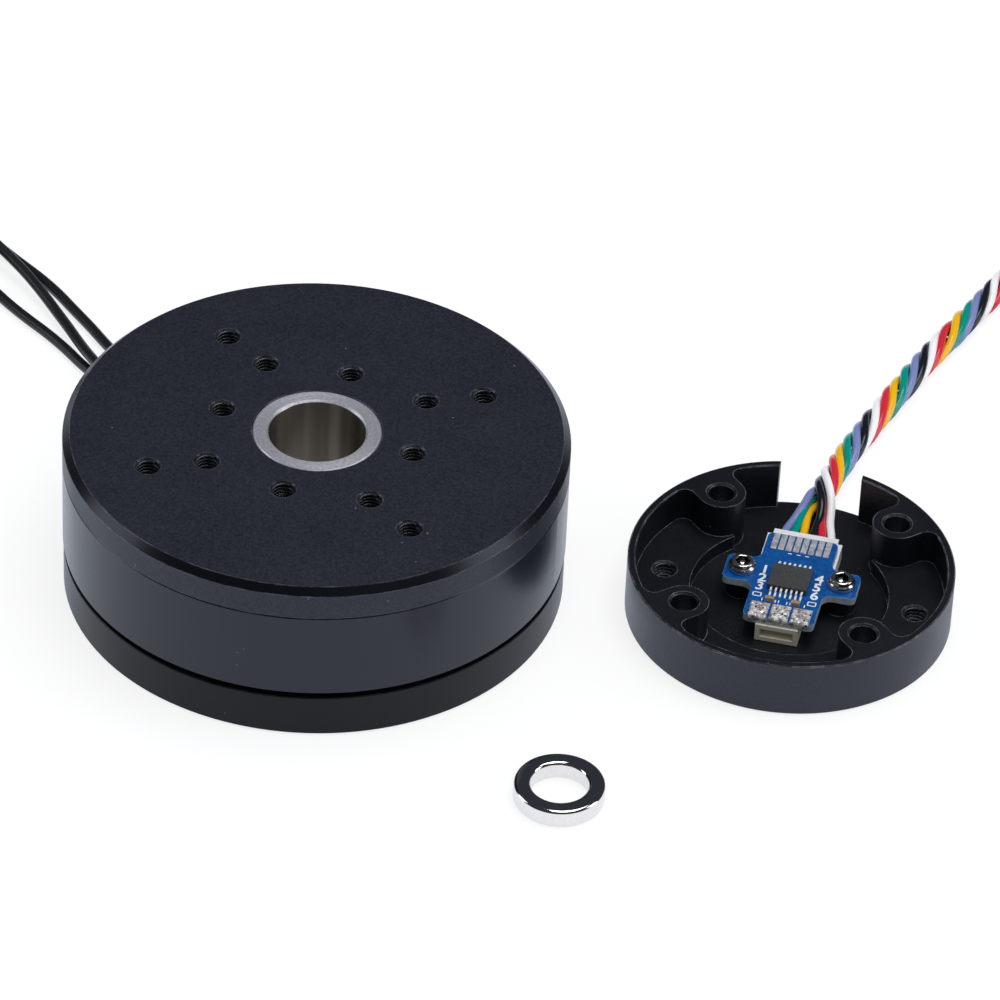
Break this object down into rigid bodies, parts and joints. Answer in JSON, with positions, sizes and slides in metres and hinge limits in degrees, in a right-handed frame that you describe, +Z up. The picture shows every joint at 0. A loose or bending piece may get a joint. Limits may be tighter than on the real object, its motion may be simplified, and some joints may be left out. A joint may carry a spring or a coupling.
{
  "type": "gimbal motor",
  "caption": "Flat brushless gimbal motor with a hollow shaft, its encoder cover and ring magnet beside it, and its leads and encoder cable coiled.",
  "frame": {"origin": "centre of the motor's underside, on the shaft's axis", "axes": "+Z up the shaft to the cap; +X along the long side of the cap's rectangle of holes; the encoder cover lies to +X and the motor leads leave to -X +Y"},
  "size_m": [0.2263, 0.1568, 0.0227],
  "materials": {
    "black_anodised": "satin black anodised",
    "lamination_steel": "stacked laminations",
    "white_nylon": "moulded",
    "copper_wire": "enamelled copper windings",
    "black_silicone": "satin silicone insulation",
    "heat_shrink": "shrunk sleeve",
    "black_rubber": "moulded",
    "bearing_steel": "ground and polished",
    "pressed_steel": "pressed sheet",
    "cage_nylon": "moulded",
    "black_band": "satin black over a turned band",
    "flux_steel": "plain turned",
    "nickel_magnet": "nickel plated",
    "turned_steel": "fine turned",
    "spring_steel": "phosphated",
    "black_plug": "moulded",
    "tin_plate": "tinned",
    "black_tie": "moulded nylon",
    "cover_anodised": "satin dark grey anodised",
    "blue_board": "blue solder mask",
    "polished_screw": "polished",
    "chip_black": "moulded epoxy",
    "capacitor_brown": "ceramic",
    "white_connector": "moulded",
    "cream_connector": "moulded",
    "cable_insulation": "six coloured strands twisted together"
  },
  "bodies": {
    "stator": {"base_housing": "black_anodised", "stator_core": "lamination_steel", "upper_insulator": "white_nylon", "lower_insulator": "white_nylon", "stator_windings": "copper_wire", "inner_leads": "black_silicone", "lead_sleeves": "heat_shrink", "lead_grommet": "black_rubber", "upper_bearing_outer": "bearing_steel", "upper_bearing_shields": "pressed_steel", "lower_bearing_outer": "bearing_steel", "lower_bearing_shields": "pressed_steel", "motor_lead_1": "black_silicone", "motor_lead_2": "black_silicone", "motor_lead_3": "black_silicone", "lead_coil_1": "black_silicone", "lead_coil_2": "black_silicone", "lead_coil_3": "black_silicone", "lead_plug": "black_plug", "lead_contacts": "tin_plate", "lead_tie": "black_tie", "encoder_cover": "cover_anodised", "encoder_board": "blue_board", "board_screws": "polished_screw", "sensor_chip": "chip_black", "chip_pins": "tin_plate", "tinned_pads": "tin_plate", "solder_pads": "tin_plate", "capacitors": "capacitor_brown", "cable_socket": "white_connector", "cable_plug": "white_connector", "spare_socket": "cream_connector", "encoder_cable": "cable_insulation", "cable_coil": "cable_insulation", "far_plug": "white_connector", "far_contacts": "tin_plate", "cable_tie": "black_tie", "ring_magnet": "nickel_magnet"},
    "rotor": {"rotor_cap": "black_anodised", "rotor_band": "black_band", "flux_ring": "flux_steel", "rotor_magnets": "nickel_magnet", "hollow_shaft": "turned_steel", "upper_bearing_inner": "bearing_steel", "lower_bearing_inner": "bearing_steel", "shim_washer": "pressed_steel", "retaining_ring": "spring_steel"},
    "upper_cage": {"upper_bearing_balls": "bearing_steel", "upper_bearing_cage": "cage_nylon"},
    "lower_cage": {"lower_bearing_balls": "bearing_steel", "lower_bearing_cage": "cage_nylon"}
  },
  "joints": [
    {"name": "rotor_spin", "type": "hinge", "parent": "stator", "child": "rotor", "pos_m": [0, 0, 0], "axis": [0, 0, 1], "continuous": true},
    {"name": "upper_cage_spin", "type": "hinge", "parent": "stator", "child": "upper_cage", "pos_m": [0, 0, 0.01675], "axis": [0, 0, 1], "continuous": true},
    {"name": "lower_cage_spin", "type": "hinge", "parent": "stator", "child": "lower_cage", "pos_m": [0, 0, 0.00435], "axis": [0, 0, 1], "continuous": true}
  ],
  "couplings": [
    {"joint": "upper_cage_spin", "follows": "rotor_spin", "ratio": 0.4487},
    {"joint": "lower_cage_spin", "follows": "rotor_spin", "ratio": 0.4487}
  ]
}
